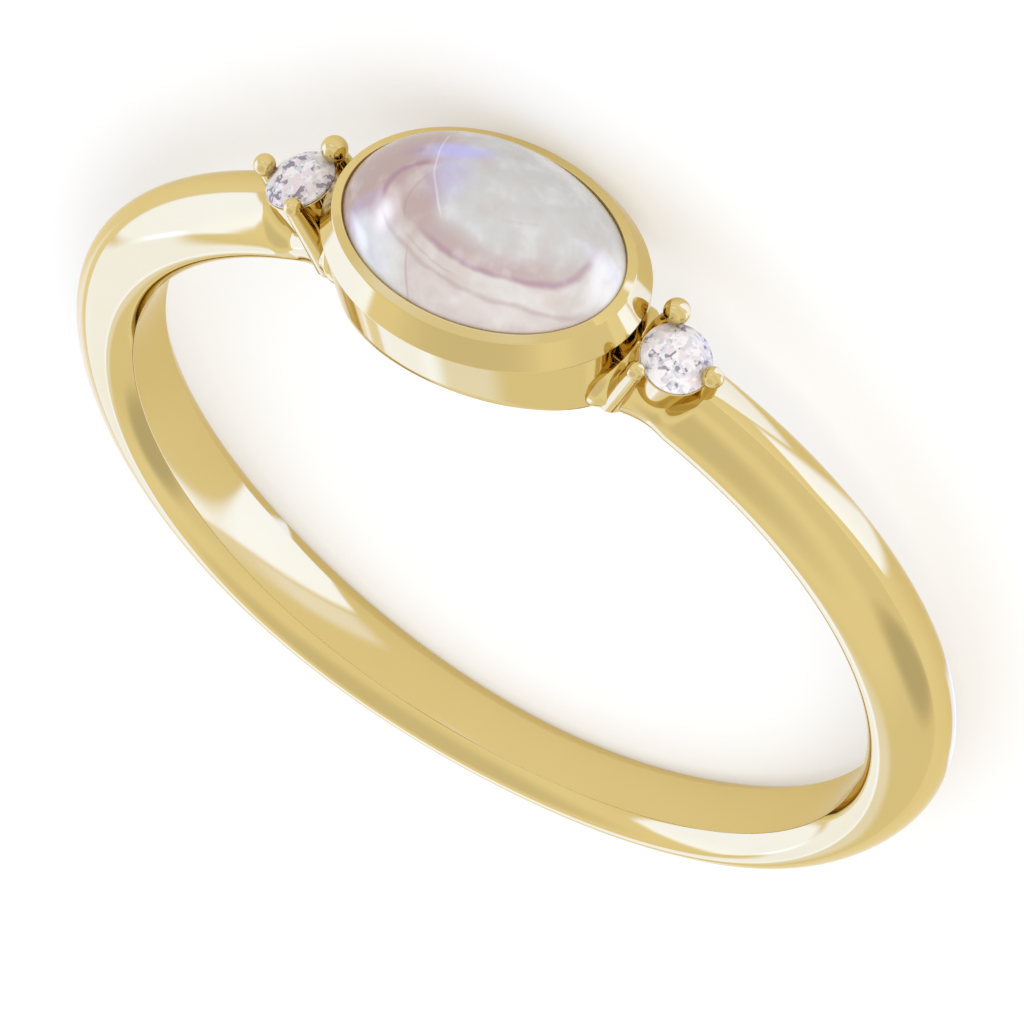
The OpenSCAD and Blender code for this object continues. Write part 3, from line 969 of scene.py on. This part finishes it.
def make_camera(stage, place):
    """Camera at the photograph's angle to the worn ring, laid down with it."""
    back = direction(stage.azimuth, stage.elevation)
    right = (-back).cross(Vector((0, 0, 1))).normalized()
    up = right.cross(-back)
    rolled_right = cos(stage.roll) * right + sin(stage.roll) * up
    rolled_up = cos(stage.roll) * up - sin(stage.roll) * right
    turned = Matrix((rolled_right, rolled_up, back)).transposed()
    aim = Vector((stage.aim_x, 0, stage.aim_z))
    data = bpy.data.cameras.new("camera")
    data.sensor_width = 36
    data.lens = data.sensor_width * stage.distance / stage.picture_width
    data.clip_start = 0.01
    data.clip_end = 10
    camera = linked("camera", data)
    camera.matrix_world = place @ Matrix.Translation(aim + back * stage.distance) @ turned.to_4x4()
    return camera


# Operators

class RING_OT_stage(bpy.types.Operator):
    """Makes the pale floor, the soft light and the camera"""

    bl_idname = "ring.stage"
    bl_label = "Stage"

    def execute(self, context):
        scene = context.scene
        stage = scene.ring_stage
        make_floor(stage)
        scene.camera = make_camera(stage, lay_down(scene.ring_band, scene.ring_bezel))
        scene.world = studio_world(stage)
        scene.view_settings.view_transform = "Standard"
        make_lights(stage)
        return {"FINISHED"}


class RING_OT_gold(bpy.types.Operator):
    """Makes the band, the bezel and the two heads"""

    bl_idname = "ring.gold"
    bl_label = "Gold mounting"

    def execute(self, context):
        scene = context.scene
        band = scene.ring_band
        bezel = scene.ring_bezel
        head = scene.ring_heads
        place = lay_down(band, bezel)
        gold = gold_material(scene.ring_colours)
        pieces = [build_band(band, place), build_bezel(band, bezel, place)]
        for name, side in (("left_head", -1), ("right_head", 1)):
            pieces.append(build_head(name, band, head, place, side))
        for piece in pieces:
            dressed(piece, gold, "gold", "gold_mounting")
        return {"FINISHED"}


class RING_OT_moonstone(bpy.types.Operator):
    """Makes the oval cabochon"""

    bl_idname = "ring.moonstone"
    bl_label = "Moonstone"

    def execute(self, context):
        scene = context.scene
        place = lay_down(scene.ring_band, scene.ring_bezel)
        stone = build_cabochon(scene.ring_band, scene.ring_bezel, place)
        dressed(stone, moonstone_material(scene.ring_colours, place), "moonstone", "moonstone")
        return {"FINISHED"}


class RING_OT_diamonds(bpy.types.Operator):
    """Gives the two brilliants their material"""

    bl_idname = "ring.diamonds"
    bl_label = "Diamonds"

    def execute(self, context):
        material = diamond_material(context.scene.ring_colours)
        for name in ("left_diamond", "right_diamond"):
            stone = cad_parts[name]
            for slot in stone.material_slots:
                slot.material = material
        return {"FINISHED"}


class RING_PT_panel(bpy.types.Panel):
    """Lists the steps that build the ring, and its settings"""

    bl_idname = "RING_PT_panel"
    bl_label = "Cabochon ring"
    bl_space_type = "VIEW_3D"
    bl_region_type = "UI"
    bl_category = "Ring"

    def draw(self, context):
        for step in STEPS:
            self.layout.operator(step.bl_idname)
        for name in SETTINGS:
            box = self.layout.box()
            group = getattr(context.scene, name)
            for field in group.__annotations__:
                box.prop(group, field)


STEPS = (RING_OT_stage, RING_OT_gold, RING_OT_moonstone, RING_OT_diamonds)
SETTINGS = {
    "ring_band": RingBandSizes,
    "ring_bezel": RingBezelSizes,
    "ring_heads": RingHeadSizes,
    "ring_colours": RingFinishColours,
    "ring_stage": RingStageSettings,
}


def register():
    for kind in (*SETTINGS.values(), *STEPS, RING_PT_panel):
        bpy.utils.register_class(kind)
    for name, kind in SETTINGS.items():
        setattr(bpy.types.Scene, name, PointerProperty(type=kind))


def unregister():
    for name in SETTINGS:
        delattr(bpy.types.Scene, name)
    for kind in (RING_PT_panel, *reversed(STEPS), *reversed(SETTINGS.values())):
        bpy.utils.unregister_class(kind)


def main():
    register()
    bpy.ops.ring.stage()
    bpy.ops.ring.gold()
    bpy.ops.ring.moonstone()
    bpy.ops.ring.diamonds()


if __name__ == "__main__":
    main()
